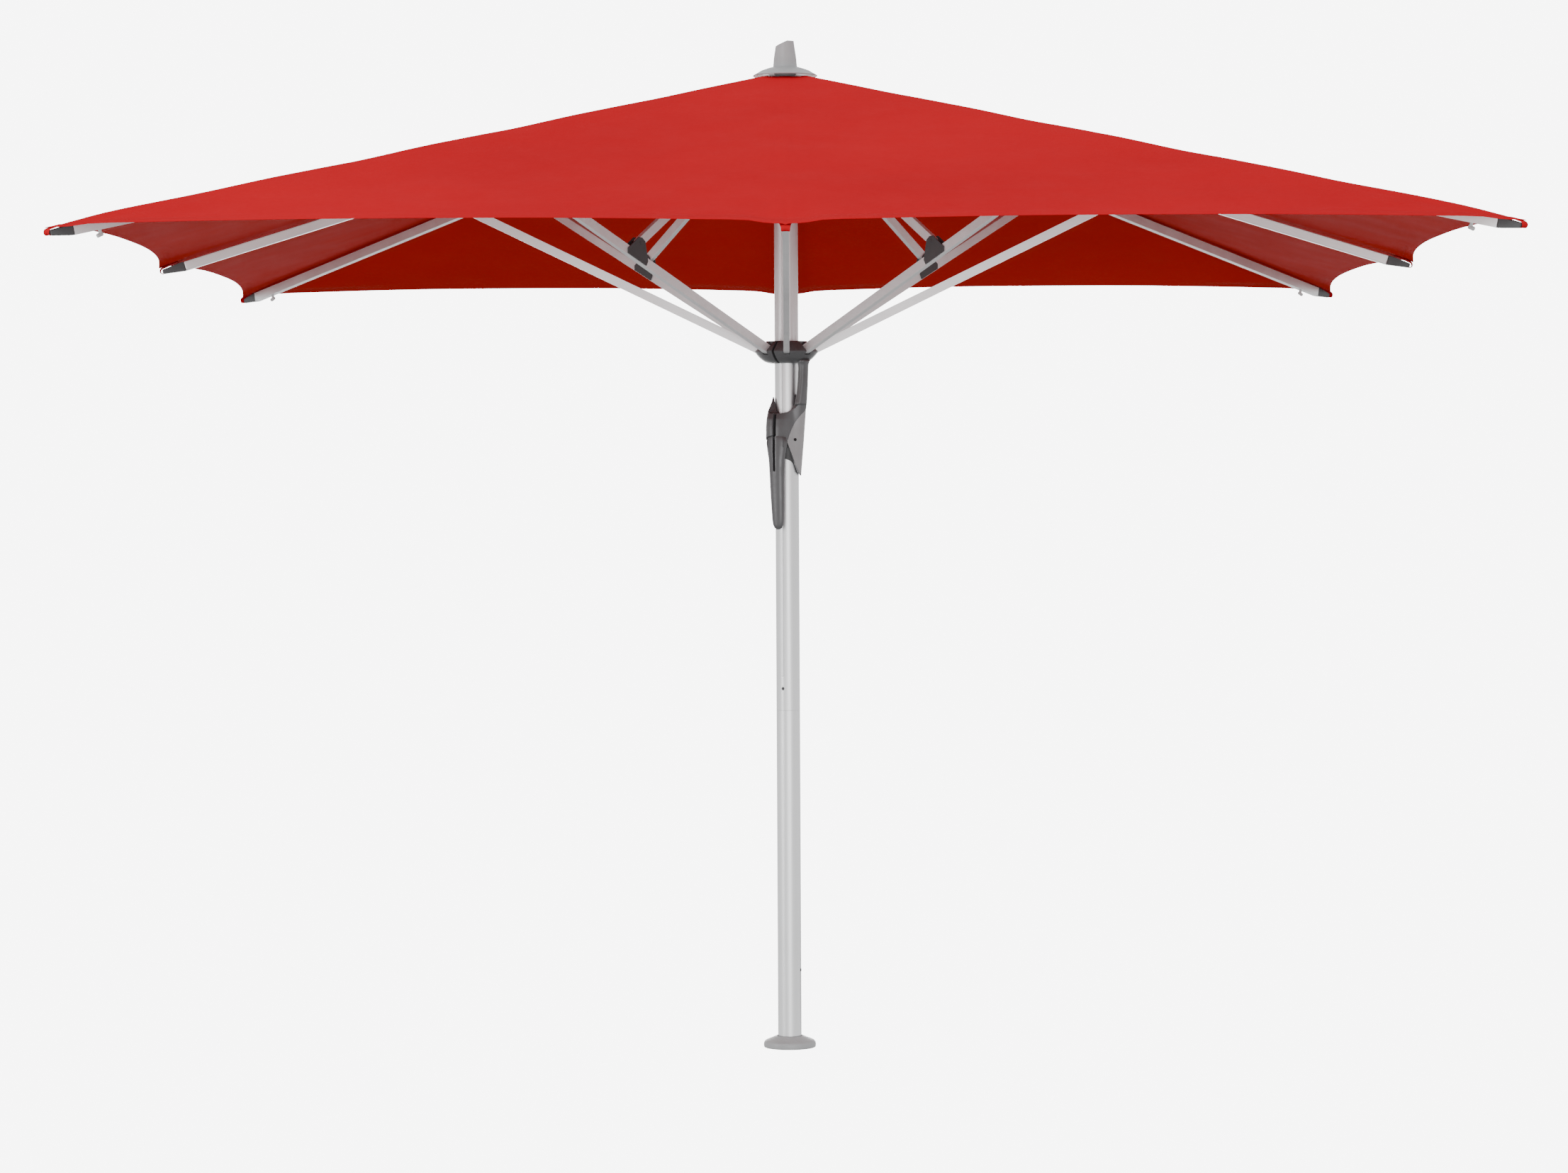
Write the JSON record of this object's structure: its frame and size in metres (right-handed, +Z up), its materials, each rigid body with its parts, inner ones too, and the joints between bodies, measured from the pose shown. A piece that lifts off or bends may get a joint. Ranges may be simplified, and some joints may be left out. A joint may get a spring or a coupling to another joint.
{
  "type": "patio umbrella with base",
  "caption": "Square lever-operated patio umbrella on a straight mast with a floor-fixed base flange and round cover ring.",
  "frame": {"origin": "centre of the flange's bolt circle on its underside, on the mast's axis", "axes": "+Z up along the mast, -Y towards the near side of the canopy, +X to its right"},
  "size_m": [3.5, 3.5, 2.81],
  "materials": {
    "cast_aluminium": "satin",
    "dark_plastic": "matte",
    "finial_plastic": "satin",
    "grey_plastic": "satin",
    "mast_metal": "satin",
    "red_fabric": "matte",
    "ring_plastic": "satin",
    "steel": "satin"
  },
  "bodies": {
    "base": {"base_socket": "steel", "cover_ring": "ring_plastic"},
    "mast": {"mast_lower": "mast_metal", "mast_upper": "mast_metal", "mast_spigot": "mast_metal", "mast_screws": "steel", "guide_rail": "mast_metal", "mast_head": "cast_aluminium", "mast_head_pins": "steel"},
    "crown": {"crown_tube": "mast_metal", "crown_hub": "cast_aluminium", "crown_pins": "steel", "top_disc": "finial_plastic", "finial": "finial_plastic", "canopy": "red_fabric"},
    "runner": {"runner_hub": "grey_plastic", "runner_pins": "steel", "runner_bush": "dark_plastic", "lever_housing": "grey_plastic", "lever_pin": "steel"},
    "lever": {"lever": "grey_plastic"},
    "rib_corner_back_right": {"rib_corner_back_right": "mast_metal", "rib_cap_corner_back_right": "dark_plastic"},
    "strut_corner_back_right": {"strut_corner_back_right": "mast_metal", "bracket_corner_back_right": "dark_plastic"},
    "stay_corner_back_right": {"stay_corner_back_right": "mast_metal"},
    "rib_corner_back_left": {"rib_corner_back_left": "mast_metal", "rib_cap_corner_back_left": "dark_plastic"},
    "strut_corner_back_left": {"strut_corner_back_left": "mast_metal", "bracket_corner_back_left": "dark_plastic"},
    "stay_corner_back_left": {"stay_corner_back_left": "mast_metal"},
    "rib_corner_front_left": {"rib_corner_front_left": "mast_metal", "rib_cap_corner_front_left": "dark_plastic"},
    "strut_corner_front_left": {"strut_corner_front_left": "mast_metal", "bracket_corner_front_left": "dark_plastic"},
    "stay_corner_front_left": {"stay_corner_front_left": "mast_metal"},
    "rib_corner_front_right": {"rib_corner_front_right": "mast_metal", "rib_cap_corner_front_right": "dark_plastic"},
    "strut_corner_front_right": {"strut_corner_front_right": "mast_metal", "bracket_corner_front_right": "dark_plastic"},
    "stay_corner_front_right": {"stay_corner_front_right": "mast_metal"},
    "rib_side_right": {"rib_side_right": "mast_metal", "rib_cap_side_right": "dark_plastic"},
    "shoe_side_right": {"shoe_side_right": "cast_aluminium"},
    "strut_side_right": {"strut_side_right": "mast_metal"},
    "rib_side_back": {"rib_side_back": "mast_metal", "rib_cap_side_back": "dark_plastic"},
    "shoe_side_back": {"shoe_side_back": "cast_aluminium"},
    "strut_side_back": {"strut_side_back": "mast_metal"},
    "rib_side_left": {"rib_side_left": "mast_metal", "rib_cap_side_left": "dark_plastic"},
    "shoe_side_left": {"shoe_side_left": "cast_aluminium"},
    "strut_side_left": {"strut_side_left": "mast_metal"},
    "rib_side_front": {"rib_side_front": "mast_metal", "rib_cap_side_front": "dark_plastic"},
    "shoe_side_front": {"shoe_side_front": "cast_aluminium"},
    "strut_side_front": {"strut_side_front": "mast_metal"}
  },
  "joints": [
    {"name": "mast_turn", "type": "hinge", "parent": "base", "child": "mast", "pos_m": [0, 0, 0.1], "axis": [0, 0, 1], "continuous": true},
    {"name": "runner_slide", "type": "slide", "parent": "mast", "child": "runner", "axis": [0, 0, -1], "range_m": [0, 0.53653], "deforming": ["canopy"]},
    {"name": "crown_lift", "type": "slide", "parent": "mast", "child": "crown", "axis": [0, 0, 1], "range_m": [0, 0.8938]},
    {"name": "lever_pull", "type": "hinge", "parent": "runner", "child": "lever", "pos_m": [-0.02937, -0.06022, 1.69], "axis": [-0.8988, 0.4384, 0], "range_deg": [0, 100]},
    {"name": "rib_fold_corner_back_right", "type": "hinge", "parent": "crown", "child": "rib_corner_back_right", "pos_m": [0.04101, 0.04101, 2.69], "axis": [-0.7071, 0.7071, 0], "range_deg": [0, 72.16]},
    {"name": "strut_fold_corner_back_right", "type": "hinge", "parent": "rib_corner_back_right", "child": "strut_corner_back_right", "pos_m": [0.76472, 0.76472, 2.43809], "axis": [0.7071, -0.7071, 0], "range_deg": [0, 133.32]},
    {"name": "stay_fold_corner_back_right", "type": "hinge", "parent": "strut_corner_back_right", "child": "stay_corner_back_right", "pos_m": [0.39681, 0.39681, 2.22824], "axis": [-0.7071, 0.7071, 0], "range_deg": [0, 114.07]},
    {"name": "rib_fold_corner_back_left", "type": "hinge", "parent": "crown", "child": "rib_corner_back_left", "pos_m": [-0.04101, 0.04101, 2.69], "axis": [-0.7071, -0.7071, 0], "range_deg": [0, 72.16]},
    {"name": "strut_fold_corner_back_left", "type": "hinge", "parent": "rib_corner_back_left", "child": "strut_corner_back_left", "pos_m": [-0.76472, 0.76472, 2.43809], "axis": [0.7071, 0.7071, 0], "range_deg": [0, 133.32]},
    {"name": "stay_fold_corner_back_left", "type": "hinge", "parent": "strut_corner_back_left", "child": "stay_corner_back_left", "pos_m": [-0.39681, 0.39681, 2.22824], "axis": [-0.7071, -0.7071, 0], "range_deg": [0, 114.07]},
    {"name": "rib_fold_corner_front_left", "type": "hinge", "parent": "crown", "child": "rib_corner_front_left", "pos_m": [-0.04101, -0.04101, 2.69], "axis": [0.7071, -0.7071, 0], "range_deg": [0, 72.16]},
    {"name": "strut_fold_corner_front_left", "type": "hinge", "parent": "rib_corner_front_left", "child": "strut_corner_front_left", "pos_m": [-0.76472, -0.76472, 2.43809], "axis": [-0.7071, 0.7071, 0], "range_deg": [0, 133.32]},
    {"name": "stay_fold_corner_front_left", "type": "hinge", "parent": "strut_corner_front_left", "child": "stay_corner_front_left", "pos_m": [-0.39681, -0.39681, 2.22824], "axis": [0.7071, -0.7071, 0], "range_deg": [0, 114.07]},
    {"name": "rib_fold_corner_front_right", "type": "hinge", "parent": "crown", "child": "rib_corner_front_right", "pos_m": [0.04101, -0.04101, 2.69], "axis": [0.7071, 0.7071, 0], "range_deg": [0, 72.16]},
    {"name": "strut_fold_corner_front_right", "type": "hinge", "parent": "rib_corner_front_right", "child": "strut_corner_front_right", "pos_m": [0.76472, -0.76472, 2.43809], "axis": [-0.7071, -0.7071, 0], "range_deg": [0, 133.32]},
    {"name": "stay_fold_corner_front_right", "type": "hinge", "parent": "strut_corner_front_right", "child": "stay_corner_front_right", "pos_m": [0.39681, -0.39681, 2.22824], "axis": [0.7071, 0.7071, 0], "range_deg": [0, 114.07]},
    {"name": "rib_fold_side_right", "type": "hinge", "parent": "crown", "child": "rib_side_right", "pos_m": [0.058, 0, 2.69], "axis": [0, 1, 0], "range_deg": [0, 68.97]},
    {"name": "shoe_slide_side_right", "type": "slide", "parent": "rib_side_right", "child": "shoe_side_right", "axis": [0.9559, 0, -0.2938], "range_m": [0, 0.23193]},
    {"name": "strut_fold_side_right", "type": "hinge", "parent": "shoe_side_right", "child": "strut_side_right", "pos_m": [0.96089, 0, 2.38008], "axis": [0, -1, 0], "range_deg": [0, 131.02]},
    {"name": "rib_fold_side_back", "type": "hinge", "parent": "crown", "child": "rib_side_back", "pos_m": [0, 0.058, 2.69], "axis": [-1, 0, 0], "range_deg": [0, 68.97]},
    {"name": "shoe_slide_side_back", "type": "slide", "parent": "rib_side_back", "child": "shoe_side_back", "axis": [0, 0.9559, -0.2938], "range_m": [0, 0.23193]},
    {"name": "strut_fold_side_back", "type": "hinge", "parent": "shoe_side_back", "child": "strut_side_back", "pos_m": [0, 0.96089, 2.38008], "axis": [1, 0, 0], "range_deg": [0, 131.02]},
    {"name": "rib_fold_side_left", "type": "hinge", "parent": "crown", "child": "rib_side_left", "pos_m": [-0.058, 0, 2.69], "axis": [0, -1, 0], "range_deg": [0, 68.97]},
    {"name": "shoe_slide_side_left", "type": "slide", "parent": "rib_side_left", "child": "shoe_side_left", "axis": [-0.9559, 0, -0.2938], "range_m": [0, 0.23193]},
    {"name": "strut_fold_side_left", "type": "hinge", "parent": "shoe_side_left", "child": "strut_side_left", "pos_m": [-0.96089, 0, 2.38008], "axis": [0, 1, 0], "range_deg": [0, 131.02]},
    {"name": "rib_fold_side_front", "type": "hinge", "parent": "crown", "child": "rib_side_front", "pos_m": [0, -0.058, 2.69], "axis": [1, 0, 0], "range_deg": [0, 68.97]},
    {"name": "shoe_slide_side_front", "type": "slide", "parent": "rib_side_front", "child": "shoe_side_front", "axis": [0, -0.9559, -0.2938], "range_m": [0, 0.23193]},
    {"name": "strut_fold_side_front", "type": "hinge", "parent": "shoe_side_front", "child": "strut_side_front", "pos_m": [0, -0.96089, 2.38008], "axis": [-1, 0, 0], "range_deg": [0, 131.02]}
  ],
  "couplings": [
    {"joint": "crown_lift", "follows": "runner_slide", "ratio": 1.664},
    {"joint": "rib_fold_corner_back_right", "follows": "runner_slide", "rad_per_m": 2.3459},
    {"joint": "strut_fold_corner_back_right", "follows": "runner_slide", "rad_per_m": 4.3351},
    {"joint": "stay_fold_corner_back_right", "follows": "runner_slide", "rad_per_m": 3.7091},
    {"joint": "rib_fold_corner_back_left", "follows": "runner_slide", "rad_per_m": 2.3459},
    {"joint": "strut_fold_corner_back_left", "follows": "runner_slide", "rad_per_m": 4.3351},
    {"joint": "stay_fold_corner_back_left", "follows": "runner_slide", "rad_per_m": 3.7091},
    {"joint": "rib_fold_corner_front_left", "follows": "runner_slide", "rad_per_m": 2.3459},
    {"joint": "strut_fold_corner_front_left", "follows": "runner_slide", "rad_per_m": 4.3351},
    {"joint": "stay_fold_corner_front_left", "follows": "runner_slide", "rad_per_m": 3.7091},
    {"joint": "rib_fold_corner_front_right", "follows": "runner_slide", "rad_per_m": 2.3459},
    {"joint": "strut_fold_corner_front_right", "follows": "runner_slide", "rad_per_m": 4.3351},
    {"joint": "stay_fold_corner_front_right", "follows": "runner_slide", "rad_per_m": 3.7091},
    {"joint": "rib_fold_side_right", "follows": "runner_slide", "rad_per_m": 2.2418},
    {"joint": "shoe_slide_side_right", "follows": "runner_slide", "ratio": 0.43042},
    {"joint": "strut_fold_side_right", "follows": "runner_slide", "rad_per_m": 4.2604},
    {"joint": "rib_fold_side_back", "follows": "runner_slide", "rad_per_m": 2.2418},
    {"joint": "shoe_slide_side_back", "follows": "runner_slide", "ratio": 0.43042},
    {"joint": "strut_fold_side_back", "follows": "runner_slide", "rad_per_m": 4.2604},
    {"joint": "rib_fold_side_left", "follows": "runner_slide", "rad_per_m": 2.2418},
    {"joint": "shoe_slide_side_left", "follows": "runner_slide", "ratio": 0.43042},
    {"joint": "strut_fold_side_left", "follows": "runner_slide", "rad_per_m": 4.2604},
    {"joint": "rib_fold_side_front", "follows": "runner_slide", "rad_per_m": 2.2418},
    {"joint": "shoe_slide_side_front", "follows": "runner_slide", "ratio": 0.43042},
    {"joint": "strut_fold_side_front", "follows": "runner_slide", "rad_per_m": 4.2604}
  ]
}
